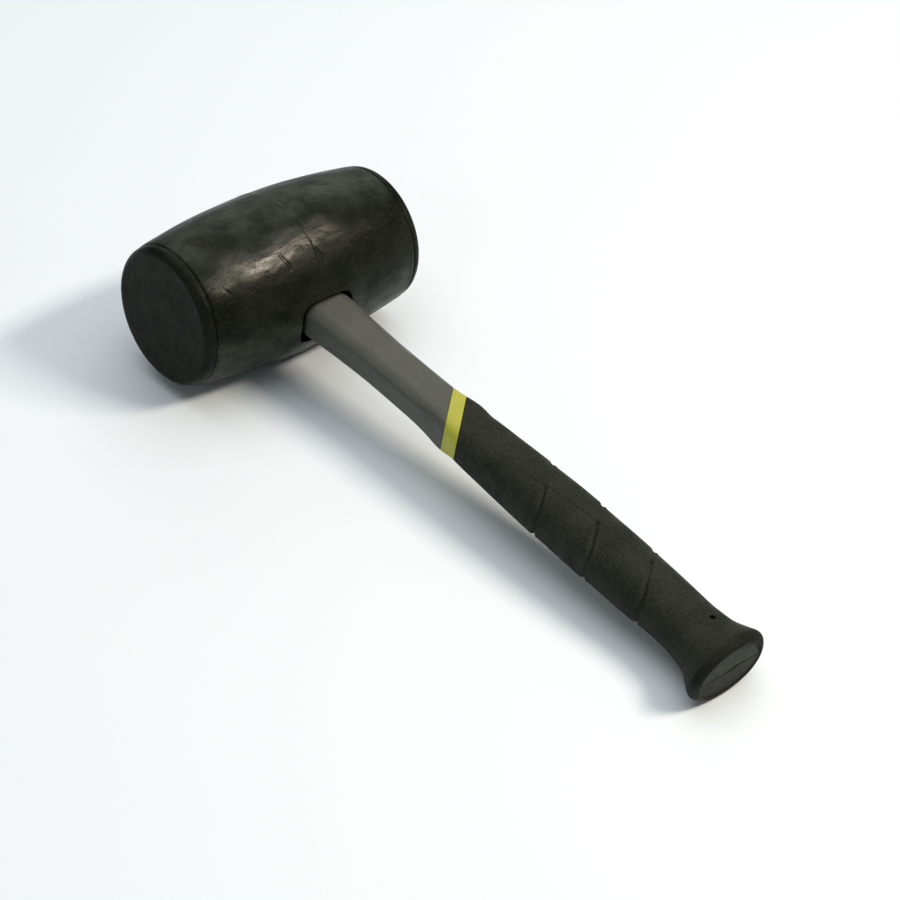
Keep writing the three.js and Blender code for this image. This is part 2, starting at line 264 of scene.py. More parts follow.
def skin_point(nominal, angle, inset=0.0, relief=None):
    """A point of the handle's outside. Rings near the band lean with it."""
    station = nominal
    x = z = 0.0
    for _ in range(3):
        rounding = min(max((station - BUTT_STATION) / BUTT_ROUNDING + 1, 0), 1)
        width = half_width(station) * (1 - (1 - BUTT_END_RATIO) * rounding**BUTT_ROUNDING_POWER)
        thick = width * thickness_ratio(station)
        x, z = section(
            angle, width - inset, thick - inset, squareness(station), chamfer_weight(station)
        )
        station = nominal - band_shear(nominal) * BAND_LEAN * x
    if relief:
        across, up = x / width**2, z / thick**2
        scale = relief(station, x, z) / math.hypot(across, up)
        x, z = x + across * scale, z + up * scale
    return (x + sideways(station), -station, z)


def skin_ring(nominal, sides, inset=0.0, relief=None):
    return [skin_point(nominal, 2 * math.pi * i / sides, inset, relief) for i in range(sides)]


def between(start, end, spacing):
    """Evenly spaced numbers from start to end, both included, about `spacing` apart."""
    steps = max(1, round(abs(end - start) / spacing))
    return [start + (end - start) * i / steps for i in range(steps + 1)]


# ---------------------------------------------------------------------------------------
# Head
# ---------------------------------------------------------------------------------------
def belly_radius(x):
    return BELLY_RADIUS - (BELLY_RADIUS - MOULD_LINE_RADIUS) * (x / MOULD_LINE) ** 2


# Nicks and scuffs in the belly: place along the axis, angle round it in degrees from the top
# toward the handle, length, direction in degrees from the axis, depth.
SCUFFS = (
    (-16.6, 39.5, 12, 84, 0.6), (2.4, 42, 13, 84, 0.55), (24, 48, 10, 62, 0.35),
    (-34, 33, 6, 70, 0.3), (24, -14, 15, 18, 0.8), (31, -7, 11, 35, 0.6), (17, -20, 13, 5, 0.7),
    (-34, 8, 14, 12, 0.22), (42, 13.6, 3, 60, 0.4), (8, 4, 8, 50, 0.2), (-50, 44, 6, 80, 0.2),
    (36, 60, 9, 20, 0.25), (-28, -40, 12, 30, 0.3), (14, 150, 13, 10, 0.3), (-40, 190, 9, 65, 0.3),
)
SCUFF_REACH = 12
SCUFF_HALF_WIDTH = 0.55
SCUFF_WOBBLE = 0.8


def scuff_depth(x, turn):
    """How deep the scuffs are at a place along the axis and an angle in degrees round it."""
    depth = 0.0
    for place, angle, length, direction, deep in SCUFFS:
        off = (turn - angle + 180) % 360 - 180
        along = x - place
        around = math.radians(off) * BELLY_RADIUS
        if abs(along) > SCUFF_REACH or abs(around) > SCUFF_REACH:
            continue
        c, s = math.cos(math.radians(direction)), math.sin(math.radians(direction))
        run, side = along * c + around * s, around * c - along * s
        side += SCUFF_WOBBLE * math.sin(run / 2)
        fade = max(0.0, 1 - (2 * run / length) ** 2)
        depth += deep * fade * bump_at(side, SCUFF_HALF_WIDTH)
    return depth


LUMP_SPACING = 24
LUMP_HEIGHT = 0.16
FLOW_SPACING = 17
FLOW_HEIGHT = 0.07
FLASH_HEIGHT = 0.36
FLASH_HALF_WIDTH = 0.6
# The two halves of the mould meet in a small step, spread over this much either side.
MOULD_STEP = 0.22
MOULD_STEP_REACH = 0.8
LIFT_LIMIT = 0.45


def head_relief(x, angle):
    """How far the belly stands off its plain outline: lumps, flow marks, flash and scuffs."""
    c, s = math.cos(angle), math.sin(angle)
    spot = Vector((x / LUMP_SPACING, 1.5 * c, 1.5 * s))
    lift = LUMP_HEIGHT * noise.noise(spot)
    flow = noise.noise(Vector((x / FLOW_SPACING, 9 * c, 9 * s + 5)))
    patch = smooth_step(-0.15, 0.35, noise.noise(spot * 1.3 + Vector((3, 7, 1))))
    lift += FLOW_HEIGHT * (1 - abs(flow) * 3) * patch
    wander = 0.5 * noise.noise(Vector((2, 2.2 * c, 2.2 * s)))
    ragged = 0.6 + 0.6 * noise.noise(Vector((8, 7 * c, 7 * s)))
    by_the_eye = bump_at(s - 1, 0.3) + bump_at(s + 1, 0.3)
    shown = smooth_step(-0.05, 0.3, noise.noise(Vector((3, 2.6 * c, 2.6 * s)))) + by_the_eye
    lift += FLASH_HEIGHT * ragged * min(shown, 1) * bump_at(x - wander, FLASH_HALF_WIDTH)
    lift += MOULD_STEP * (smooth_step(MOULD_STEP_REACH, -MOULD_STEP_REACH, x - wander) - 0.5)
    return min(lift, LIFT_LIMIT) - scuff_depth(x, math.degrees(angle))


def eye_distance(x, z):
    """About how far a point of the belly is outside the eye's mouth."""
    across = abs(x - sideways(0)) / EYE_HALF_WIDTH
    up = abs(z) / EYE_HALF_THICKNESS
    reach = (across**EYE_SQUARENESS + up**EYE_SQUARENESS) ** (1 / EYE_SQUARENESS)
    return (reach - 1) * EYE_MEAN_RADIUS


# The groove at the mould line: place along the axis from the line, depth under the bevel's
# rim, and how much of the belly's relief shows there.
MOULD_GROOVE = ((0.35, 0.12, 0), (0.2, 0.45, 0), (0, 0.5, 0.1), (-0.15, 0.1, 0.3))
BELLY_START = 0.4
RELIEF_FADE = 4


def head_outline():
    """(x, radius, how much of the belly's relief shows) from one face's centre to the other's."""
    half = []
    for radius in between(0.4, FACE_RADIUS - FACE_ROUNDING, 1.6):
        half.append((HALF_HEAD, radius, 0))
    for step in range(1, 17):
        turn = math.pi / 2 * (1 - step / 16)
        spread = BEVEL_RADIUS - FACE_RADIUS + FACE_ROUNDING
        radius = FACE_RADIUS - FACE_ROUNDING + spread * math.cos(turn)
        along = BEVEL_LAND + (BEVEL_LENGTH - BEVEL_LAND) * math.sin(turn) ** 0.8
        half.append((MOULD_LINE + along, radius, 0))
    for along, depth, shown in MOULD_GROOVE:
        half.append((MOULD_LINE + along, BEVEL_RADIUS - depth, shown))
    for x in between(MOULD_LINE - BELLY_START, 0, 0.45):
        fade = smooth_step(MOULD_LINE, MOULD_LINE - RELIEF_FADE, x)
        drawn_in = 0.15 * bump_at(x - MOULD_LINE + BELLY_START, 0.3)
        half.append((x, belly_radius(x) - drawn_in, fade))
    return [(-x, radius, shown) for x, radius, shown in half] + half[-2::-1]


MOULD_LINE_REACH = 3
BEVEL_LUMP_HEIGHT = 0.08
FACE_DISH = 0.12


def mould_line_stray(x, angle):
    """How far a mould line strays along the axis, with one nick on the handle's side."""
    if abs(abs(x) - MOULD_LINE) >= MOULD_LINE_REACH:
        return 0.0
    nick = math.copysign(bump_at(math.degrees(angle) % 360 - 87, 3), x)
    spot = Vector((x / 5, 3 * math.cos(angle), 3 * math.sin(angle)))
    return 0.15 * noise.noise(spot) + 0.27 * nick


def head_ring(x, radius, shown):
    """One ring of the head, in the local frame, with as much of the relief as `shown`."""
    ring = []
    for side in range(HEAD_SIDES):
        angle = -2 * math.pi * side / HEAD_SIDES
        c, s = math.cos(angle), math.sin(angle)
        lift = shown * head_relief(x, angle) if shown else 0.0
        if abs(x) > MOULD_LINE + BEVEL_LAND + 0.1:
            spot = Vector((x, radius * c / 9, radius * s / 9))
            lift += BEVEL_LUMP_HEIGHT * noise.noise(spot)
        reach = radius + lift
        y, z = -reach * s, reach * c
        edge = eye_distance(x, z)
        if edge < LIP_WIDTH and y < -BELLY_RADIUS / 2:
            y -= LIP_HEIGHT * smooth_step(LIP_WIDTH, 0.5, edge)
        place = x + mould_line_stray(x, angle)
        if abs(x) >= HALF_HEAD:
            dish = FACE_DISH * abs(noise.noise(Vector((x, y / 14, z / 14))))
            place -= math.copysign(dish, x)
        ring.append((place, y, z))
    return ring


def cut(piece, cutter):
    """Takes the cutter's shape out of the piece for good, and removes the cutter."""
    modifier = piece.modifiers.new("cut", "BOOLEAN")
    modifier.operation = "DIFFERENCE"
    modifier.solver = "EXACT"
    modifier.object = cutter
    graph = bpy.context.evaluated_depsgraph_get()
    mesh = bpy.data.meshes.new_from_object(piece.evaluated_get(graph))
    piece.modifiers.clear()
    piece.data = mesh
    bpy.data.objects.remove(cutter)


def make_head():
    head = skin("head_rubber", [head_ring(*point) for point in head_outline()])
    flares = (
        (-EYE_CUTTER_REACH, 0), (EYE_MOUTH_STATION, 0), (EYE_MOUTH_STATION + 2, EYE_MOUTH),
        (EYE_CUTTER_REACH, EYE_MOUTH + 0.5),
    )
    rings = []
    for station, flare in flares:
        width, thickness = EYE_HALF_WIDTH + flare, EYE_HALF_THICKNESS + flare / 2
        ring = oval_ring(station, width, thickness, EYE_SQUARENESS, EYE_SIDES)
        rings.append([(x - flare * 0.9, y, z) for x, y, z in ring])
    cut(head, skin("eye_cutter", rings))
    crisp(head, 50)
    return head


def make_plug():
    """An oval block with rounded edges."""
    start, end = PLUG_START, PLUG_START + PLUG_THICKNESS
    width, thickness = EYE_HALF_WIDTH - GAP, EYE_HALF_THICKNESS - GAP
    sizes = []
    for step in range(1, 9):
        share = step / 8 * 0.98
        sizes.append((start, (width - PLUG_ROUNDING) * share, (thickness - PLUG_ROUNDING) * share))
    for step in range(1, 6):
        turn = math.pi / 2 * step / 5
        drop, inset = PLUG_ROUNDING * (1 - math.cos(turn)), PLUG_ROUNDING * (1 - math.sin(turn))
        sizes.append((start + drop, width - inset, thickness - inset))
    for step in range(6):
        turn = math.pi / 2 * step / 5
        drop, inset = PLUG_ROUNDING * (1 - math.sin(turn)), PLUG_ROUNDING * (1 - math.cos(turn))
        sizes.append((end - drop, width - inset, thickness - inset))
    rings = [oval_ring(*size, EYE_SQUARENESS, EYE_SIDES) for size in sizes]
    plug = skin("eye_plug_black", rings)
    crisp(plug, 60)
    return plug


# ---------------------------------------------------------------------------------------
# Handle
# ---------------------------------------------------------------------------------------
def shank_relief(station, x, z):
    """Faint sink marks and the mould's parting line down both edges."""
    lift = 0.05 * noise.noise(Vector((x / 6, station / 30, z / 6)))
    return lift + 0.09 * bump_at(z, 0.35) * (1 if abs(x) > 6 else 0)


def make_shank():
    band_start = BAND_STATION - BAND_LENGTH / 2 - SEAM / 2
    sides = HANDLE_SIDES
    tenon = (TENON_HALF_WIDTH, TENON_HALF_THICKNESS, EYE_SQUARENESS, sides)
    spigot = (SPIGOT_HALF_WIDTH, SPIGOT_HALF_THICKNESS, SPIGOT_SQUARENESS, sides)
    bore = (CORE_RADIUS + GAP, CORE_RADIUS + GAP, 2, sides)
    rings = []
    for station in between(TENON_START, SHOULDER_STATION, INNER_SPACING):
        rings.append(oval_ring(station, *tenon))
    for inset in (SHOULDER_ROUNDING, SHOULDER_ROUNDING / 3):
        rings.append(skin_ring(SHOULDER_STATION + SHOULDER_ROUNDING - inset, sides, inset))
    for station in between(SHOULDER_STATION + 1, band_start - EDGE_CLEARANCE, 0.9):
        rings.append(skin_ring(station, sides, 0, shank_relief))
    for away, inset in reversed(EDGE_INSETS):
        rings.append(skin_ring(band_start - away, sides, inset))
    rings.append(oval_ring(band_start, *spigot, lean=BAND_LEAN))
    for station in between(band_start + SLANT_CLEARANCE, SPIGOT_END, INNER_SPACING):
        rings.append(oval_ring(station, *spigot))
    for station in between(SPIGOT_END, TENON_START, INNER_SPACING):
        rings.append(oval_ring(station, *bore))
    shank = skin("shank_jacket_grey", rings, loop=True)
    crisp(shank)
    return shank


def band_relief(station, x, z):
    return 0.02 * noise.noise(Vector((x / 3, station / 3, z / 3)))


def make_band():
    """A slanted sleeve on the spigot, with the handle's skin outside and broken edges."""
    start = BAND_STATION - BAND_LENGTH / 2 + SEAM / 2
    end = BAND_STATION + BAND_LENGTH / 2 - SEAM / 2
    sides = HANDLE_SIDES
    hole = (SPIGOT_HALF_WIDTH + GAP, SPIGOT_HALF_THICKNESS + GAP, SPIGOT_SQUARENESS, sides)
    rings = [skin_ring(start + away, sides, inset) for away, inset in EDGE_INSETS]
    for station in between(start + EDGE_CLEARANCE, end - EDGE_CLEARANCE, 0.5):
        rings.append(skin_ring(station, sides, 0, band_relief))
    rings += [skin_ring(end - away, sides, inset) for away, inset in reversed(EDGE_INSETS)]
    rings += [oval_ring(end, *hole, lean=BAND_LEAN), oval_ring(start, *hole, lean=BAND_LEAN)]
    band = skin("accent_band_yellow", rings, loop=True)
    crisp(band)
    return band


# Behind each groove's ridge the next panel starts low and rises over LAP_RUN.
LAP_RUN = 24
LAP_DEPTH = 0.32
RIDGE_OFFSET = 1.7
GROOVE_RIDGE_HEIGHT = 0.22
CREASE_DEPTH = 0.5
CREASE_HALF_WIDTH = 0.8
# A faint arc where the flare begins, on the broad faces and toward -X.
ARC_STATION = 281
ARC_RADIUS = 14.5
ARC_DEPTH = 0.25
BUTT_HOLLOW_DEPTH = 0.45
# The mark of the mould's gate, on the -X edge of the flare.
GATE_STATION = 291.5
GATE_RADIUS = 0.7
GATE_DEPTH = 0.7
PARTING_HEIGHT = 0.1


def grip_relief(station, x, z):
    """Grooves with round pits at their ends, lapped panels between them, and faint creases."""
    lift = 0.06 * noise.noise(Vector((x / 9, station / 22, z / 9)))
    for groove, reach in zip(GROOVE_STATIONS, GROOVE_TOP_REACH):
        along = station - groove + GROOVE_LEAN * x
        off = along * math.cos(math.atan(GROOVE_LEAN))
        if off > LAP_RUN + 3 or off < -4:
            continue
        shown = max(
            smooth_step(reach + 0.5, reach - 0.7, x),
            smooth_step(GROOVE_EDGE_REACH - 0.5, GROOVE_EDGE_REACH + 0.7, x),
        )
        lift -= GROOVE_DEPTH * shown * bump_at(off, GROOVE_HALF_WIDTH)
        lift += GROOVE_RIDGE_HEIGHT * shown * bump_at(off - RIDGE_OFFSET, 0.6)
        lap = smooth_step(LAP_RUN, 0, off) * smooth_step(-0.2, 0.6, off)
        side = smooth_step(reach + 2, reach - 8, x) + smooth_step(8, 13, x)
        lift -= LAP_DEPTH * lap * side
        lift -= PIT_DEPTH * bump_at(math.hypot(off, (x - reach) / 0.9), PIT_RADIUS)
    on_top = smooth_step(0.55, 0.8, abs(z) / (half_width(station) * thickness_ratio(station)))
    ends = smooth_step(178, 192, station) * smooth_step(270, 255, station)
    lift -= CREASE_DEPTH * on_top * ends * bump_at(x - crease_line(station), CREASE_HALF_WIDTH)
    from_arc = math.hypot((station - ARC_STATION) / 1.15, x + 1.5) - ARC_RADIUS
    arc = bump_at(from_arc, 0.9) * smooth_step(-2, -6, x) * on_top
    lift -= ARC_DEPTH * arc * smooth_step(ARC_STATION, ARC_STATION + 3, station)
    lift -= BUTT_HOLLOW_DEPTH * bump_at(station - BUTT_HOLLOW_STATION, 1.1) * on_top
    if abs(x) > 8:
        lift += PARTING_HEIGHT * bump_at(z, 0.35)
    if x < -10:
        lift -= GATE_DEPTH * bump_at(math.hypot(station - GATE_STATION, z), GATE_RADIUS)
    return lift


def pin_hole():
    """The cutter for the pin hole near the butt."""
    top = half_width(PIN_HOLE_STATION) * thickness_ratio(PIN_HOLE_STATION)
    centre = sideways(PIN_HOLE_STATION) + PIN_HOLE_OFFSET
    rings = []
    for z in (top - PIN_HOLE_DEPTH, top + PIN_HOLE_DEPTH):
        ring = []
        for side in range(40):
            angle = 2 * math.pi * side / 40
            x, y = PIN_HOLE_RADIUS * math.cos(angle), PIN_HOLE_RADIUS * math.sin(angle)
            ring.append((centre + x, -PIN_HOLE_STATION + y, z))
        rings.append(ring)
    return skin("pin_cutter", rings)


def butt_ring(station, shrink, sides):
    """A ring that follows the outline of the butt's end, `shrink` inside it."""
    lip = half_width(BUTT_STATION) * BUTT_END_RATIO
    width, thick = lip - shrink, lip * thickness_ratio(BUTT_STATION) - shrink
    ring = []
    for side in range(sides):
        x, z = section(2 * math.pi * side / sides, width, thick, squareness(BUTT_STATION))
        ring.append((x + sideways(BUTT_STATION), -station, z - INSERT_DROP))
    return ring


def make_grip():
    start = BAND_STATION + BAND_LENGTH / 2 + SEAM / 2
    sides = HANDLE_SIDES
    rings = [skin_ring(start, sides, 0.3), skin_ring(start + 0.15, sides, 0.08)]
    stations = between(start + 0.4, 296, 0.45) + between(296.4, BUTT_STATION, 0.4)
    rings += [skin_ring(station, sides, 0, grip_relief) for station in stations]
    for shrink in (0.5, 1.0, 1.4, 1.65):
        rings.append(butt_ring(BUTT_STATION + 0.1 - 0.12 * shrink**3, shrink, sides))
    pocket = BUTT_STATION - POCKET_DEPTH
    rings.append(butt_ring(BUTT_STATION - 1, INSERT_SHRINK, sides))
    rings.append(butt_ring(pocket, INSERT_SHRINK, sides))
    hole = (SPIGOT_HALF_WIDTH + GAP, SPIGOT_HALF_THICKNESS + GAP, SPIGOT_SQUARENESS, sides)
    for station in between(pocket, start + SLANT_CLEARANCE, INNER_SPACING):
        rings.append(oval_ring(station, *hole))
    rings.append(oval_ring(start, *hole, lean=BAND_LEAN))
    grip = skin("grip_sleeve_black", rings, loop=True)
    cut(grip, pin_hole())
    crisp(grip, 50)
    return grip


def insert_depth(x, z):
    """How far a point of the plate's outer face lies behind the ridge along its middle."""
    lip = half_width(BUTT_STATION) * BUTT_END_RATIO * thickness_ratio(BUTT_STATION)
    middle = x - sideways(BUTT_STATION)
    ridge = z - 0.25 * math.sin(middle / 4) - 0.3 * noise.noise(Vector((x / 3, 0, 4)))
    crack_depth = 0.35 + 0.5 * bump_at(middle - 3, 5)
    crack = crack_depth * bump_at(ridge, 0.28 + 0.3 * bump_at(middle - 3, 3))
    wear_and_painted_highlight = 0.12 * noise.noise(Vector((x / 5, z / 5, 2)))
    slope = INSERT_RIDGE if ridge > 0 else LOWER_SLOPE
    return slope * abs(ridge) / lip + crack + wear_and_painted_highlight


def make_insert():
    """The plate in the butt: two shallow slopes that meet in a cracked ridge."""
    sides = HANDLE_SIDES
    face = BUTT_STATION - INSERT_RECESS
    back = BUTT_STATION - POCKET_DEPTH + GAP
    width = half_width(BUTT_STATION) * BUTT_END_RATIO - INSERT_SHRINK
    rings = [
        butt_ring(back, INSERT_SHRINK + GAP + 0.3, sides),
        butt_ring(back + 0.3, INSERT_SHRINK + GAP, sides),
        butt_ring(face - 2.6, INSERT_SHRINK + GAP, sides),
    ]
    rim = INSERT_SHRINK + INSERT_SEAM
    outline = butt_ring(face, rim, sides)
    for turn in (0, 30, 60, 90):
        away = math.radians(turn)
        rounded = butt_ring(face, rim + INSERT_EDGE * (1 - math.cos(away)), sides)
        drop = INSERT_EDGE * (1 - math.sin(away))
        rings.append([(x, y + drop + insert_depth(x, z), z) for x, y, z in rounded])
    for step in between(INSERT_EDGE, width - 0.6, 0.6)[1:]:
        share = 1 - step / width
        ring = []
        for x, y, z in outline:
            x = sideways(BUTT_STATION) + (x - sideways(BUTT_STATION)) * share
            z = (z + INSERT_DROP) * share - INSERT_DROP
            ring.append((x, y + insert_depth(x, z), z))
        rings.append(ring)
    insert = skin("butt_insert_grey", rings)
    crisp(insert, 50)
    return insert


# ---------------------------------------------------------------------------------------
# Materials
# ---------------------------------------------------------------------------------------
class Surface:
    """A principled material with small helpers for procedural detail, in object space."""

    def __init__(self, name, roughness, specular=0.5):
        self.material = bpy.data.materials.new(name)
        self.material.use_nodes = True
        self.tree = self.material.node_tree
        self.shader = self.tree.nodes["Principled BSDF"]
        self.shader.inputs["Roughness"].default_value = roughness
        self.shader.inputs["Specular IOR Level"].default_value = specular
        self.place = self.node("ShaderNodeTexCoord").outputs["Object"]

    def node(self, kind, **settings):
        made = self.tree.nodes.new(kind)
        for key, value in settings.items():
            setattr(made, key, value)
        return made

    def link(self, source, target):
        self.tree.links.new(source, target)

    def stretched(self, scale):
        mapping = self.node("ShaderNodeMapping")
        mapping.inputs["Scale"].default_value = scale
        self.link(self.place, mapping.inputs["Vector"])
        return mapping.outputs["Vector"]

    def separate(self):
        split = self.node("ShaderNodeSeparateXYZ")
        self.link(self.place, split.inputs["Vector"])
        return split.outputs["X"], split.outputs["Y"], split.outputs["Z"]

    def noise(self, scale, detail=4.0, rough=0.55, vector=None, distortion=0.0):
        made = self.node("ShaderNodeTexNoise")
        made.inputs["Scale"].default_value = scale
        made.inputs["Detail"].default_value = detail
        made.inputs["Roughness"].default_value = rough
        made.inputs["Distortion"].default_value = distortion
        self.link(vector or self.place, made.inputs["Vector"])
        return made.outputs["Fac"]

    def ramp(self, value, low, high, start=0.0, end=1.0):
        made = self.node("ShaderNodeMapRange", interpolation_type="SMOOTHSTEP")
        made.inputs["From Min"].default_value = low
        made.inputs["From Max"].default_value = high
        made.inputs["To Min"].default_value = start
        made.inputs["To Max"].default_value = end
        self.link(value, made.inputs["Value"])
        return made.outputs["Result"]

    def maths(self, operation, a, b=0.0):
        made = self.node("ShaderNodeMath", operation=operation)
        for socket, value in zip(made.inputs, (a, b)):
            if isinstance(value, (int, float)):
                socket.default_value = value
            else:
                self.link(value, socket)
        return made.outputs["Value"]

    def mix(self, share, a, b):
        """Blends two colours, each an (r, g, b) or another node's output, by `share`."""
        made = self.node("ShaderNodeMix", data_type="RGBA")
        self.link(share, made.inputs["Factor"])
        for socket, value in ((made.inputs["A"], a), (made.inputs["B"], b)):
            if isinstance(value, tuple):
                socket.default_value = (*value, 1)
            else:
                self.link(value, socket)
        return made.outputs["Result"]

    def colour(self, output):
        self.link(output, self.shader.inputs["Base Color"])

    def roughness(self, output):
        self.link(output, self.shader.inputs["Roughness"])

    def bump(self, height, distance, strength=1.0, under=None):
        made = self.node("ShaderNodeBump")
        made.inputs["Strength"].default_value = strength
        made.inputs["Distance"].default_value = distance
        self.link(height, made.inputs["Height"])
        if under:
            self.link(under, made.inputs["Normal"])
        return made.outputs["Normal"]

    def normal(self, output):
        self.link(output, self.shader.inputs["Normal"])


# Zones of the head's rubber, fitted to the photo's light: dust on top, painted bounce light below,
# and a polished patch where the highlight falls, whose brown is part wear and part painted
# highlight. Each is (none, full), in radians round the head from the top toward the handle, or in
# metres along its axis.
DUST_ON_TOP = (0.62, 0.1)
PAINTED_BOUNCE_BELOW = (1.38, 1.62)
HIGHLIGHT_POLISH_UPPER = (0.36, 0.58)
HIGHLIGHT_POLISH_LOWER = (0.90, 0.70)
HIGHLIGHT_POLISH_RIGHT = (0.026, 0.004)
HIGHLIGHT_POLISH_LEFT = (-0.058, -0.030)


def head_rubber():
    """Black rubber: dusty on top, painted bounce light below, and brown and polished in a patch of
    the belly, where the brown is part wear and part painted highlight.
    """
    s = Surface("head_rubber", 0.4, 0.11)
    along, up_handle, height = s.separate()
    ragged = s.maths("MULTIPLY", s.maths("SUBTRACT", s.noise(42, 5, 0.6), 0.5), 0.8)
    behind = s.maths("SUBTRACT", head_centre.y, up_handle)
    above = s.maths("SUBTRACT", height, head_centre.z)
    turn = s.maths("ADD", s.maths("ARCTAN2", behind, above), ragged)
    on_belly = s.maths("LESS_THAN", s.maths("ABSOLUTE", along), (MOULD_LINE + 0.2) * MM)
    # Lighter where dust lies on top, and painted bounce light from the floor on the underside.
    dust_and_bounce_light = s.maths("ADD", s.ramp(turn, *DUST_ON_TOP), s.ramp(turn, *PAINTED_BOUNCE_BELOW))
    dust_and_bounce_light = s.maths("MULTIPLY", dust_and_bounce_light, on_belly)
    polish_and_highlight = s.maths("MULTIPLY", s.ramp(turn, *HIGHLIGHT_POLISH_UPPER), s.ramp(turn, *HIGHLIGHT_POLISH_LOWER))
    polish_and_highlight = s.maths("MULTIPLY", polish_and_highlight, s.ramp(along, *HIGHLIGHT_POLISH_RIGHT, 0.08, 1.0))
    polish_and_highlight = s.maths("MULTIPLY", polish_and_highlight, s.ramp(along, *HIGHLIGHT_POLISH_LEFT, 0.4, 1.0))
    polish_and_highlight = s.maths("MULTIPLY", polish_and_highlight, on_belly)
    cloud = s.ramp(s.noise(62, 8, 0.7, distortion=0.1), 0.36, 0.66)
    speck = s.ramp(s.noise(620, 3, 0.75), 0.45, 0.68)
    streak = s.ramp(s.noise(75, 6, 0.65, s.stretched((0.45, 1.5, 1.5)), 0.6), 0.42, 0.66)
    dark = s.mix(cloud, (0.0045, 0.0060, 0.0038), (0.0115, 0.0142, 0.0096))
    # This lighter colour serves both the dust on top and the painted bounce light below.
    bloom_and_bounce_colour = s.mix(cloud, (0.0090, 0.0114, 0.0076), (0.040, 0.0475, 0.036))
    colour = s.mix(dust_and_bounce_light, dark, bloom_and_bounce_colour)
    # Brown smears, strongest where the highlight falls: part wear, part painted highlight.
    wear_and_painted_highlight = s.maths("MULTIPLY", streak, s.ramp(polish_and_highlight, 0.0, 1.0, 0.08, 0.75))
    colour = s.mix(wear_and_painted_highlight, colour, (0.040, 0.033, 0.023))
    colour = s.mix(s.maths("MULTIPLY", speck, 0.38), colour, (0.026, 0.030, 0.023))
    s.colour(colour)
    shine = s.maths("MULTIPLY", polish_and_highlight, s.ramp(streak, 0.0, 1.0, 0.55, 1.0))
    level = s.ramp(shine, 0.0, 1.0, 0.065, 0.54)
    level = s.maths("MULTIPLY", level, s.ramp(on_belly, 0.0, 1.0, 0.7, 1.0))
    s.link(level, s.shader.inputs["Specular IOR Level"])
    smear = s.noise(85, 5, 0.6, s.stretched((0.5, 1.4, 1.4)))
    s.roughness(s.ramp(smear, 0.32, 0.7, 0.25, 0.45))
    grain = s.bump(s.noise(1500, 4, 0.6), 0.00012, 0.5)
    wrinkle = s.bump(s.noise(170, 6, 0.62, s.stretched((0.6, 1.3, 1.3)), 1.2), 0.0004, 0.55, grain)
    s.normal(wrinkle)
    return s.material


# The painted shade at the butt's lip starts, and is full, this far from the butt's end, in metres.
LIP_PAINTED_SHADE = (0.0042, 0.0020)


def grip_rubber():
    """Pebbled black rubber, with painted shade at the upper lip of the butt."""
    s = Surface("grip_rubber", 0.62, 0.12)
    cloud = s.ramp(s.noise(55, 4, 0.6), 0.35, 0.68)
    pebble = s.noise(900, 4, 0.7)
    _, lengthwise, height = s.separate()
    near_end = s.ramp(lengthwise, *(butt_end.y + distance for distance in LIP_PAINTED_SHADE))
    upper = s.ramp(height, butt_end.z - 0.002, butt_end.z + 0.003)
    light_pebble = s.maths("MULTIPLY", s.ramp(pebble, 0.48, 0.66), 0.5)
    dark_pebble = s.maths("MULTIPLY", s.ramp(pebble, 0.5, 0.36), 0.5)
    painted_lip_shade = s.maths("MULTIPLY", s.maths("MULTIPLY", near_end, upper), 0.8)
    under_lip = s.maths("MULTIPLY", near_end, s.maths("SUBTRACT", 1.0, upper))
    colour = s.mix(cloud, (0.0125, 0.0148, 0.0105), (0.021, 0.0235, 0.0172))
    colour = s.mix(light_pebble, colour, (0.038, 0.042, 0.033))
    colour = s.mix(dark_pebble, colour, (0.006, 0.0075, 0.005))
    # Painted shade along the upper lip of the butt's end.
    colour = s.mix(painted_lip_shade, colour, (0.003, 0.004, 0.0028))
    colour = s.mix(under_lip, colour, (0.0165, 0.0182, 0.0122))
    s.colour(colour)
    s.roughness(s.ramp(s.noise(120, 4), 0.3, 0.7, 0.52, 0.72))
    fine = s.bump(pebble, 0.00022, 0.9)
    s.normal(s.bump(s.noise(420, 3, 0.55), 0.0003, 0.35, fine))
    return s.material


def grey_plastic():
    """Satin grey plastic with a fine grain, with painted shade where it enters the eye."""
    base = 0.46
    s = Surface("shank_plastic", base, 0.35)
    cloud = s.ramp(s.noise(45, 4, 0.55), 0.35, 0.7)
    # Painted shade on the shank where it goes into the eye.
    painted_shade_in_eye = s.ramp(s.separate()[1], mouth_y - 0.0002, mouth_y + 0.0012, 0.0, 0.85)
    grain_tone = s.maths("MULTIPLY", s.ramp(s.noise(700, 3, 0.7), 0.42, 0.66), 0.3)
    colour = s.mix(cloud, (0.060, 0.064, 0.057), (0.073, 0.077, 0.068))
    colour = s.mix(grain_tone, colour, (0.10, 0.104, 0.092))
    s.colour(s.mix(painted_shade_in_eye, colour, (0.006, 0.0075, 0.006)))
    streak = s.noise(150, 4, 0.6, s.stretched((1.6, 0.5, 1.6)))
    s.roughness(s.ramp(streak, 0.3, 0.72, base - 0.07, base + 0.1))
    grain = s.bump(s.noise(2200, 3, 0.5), 0.0001, 0.35)
    s.normal(s.bump(s.noise(300, 4, 0.6, s.stretched((1.5, 0.3, 1.5))), 0.00012, 0.3, grain))
    return s.material


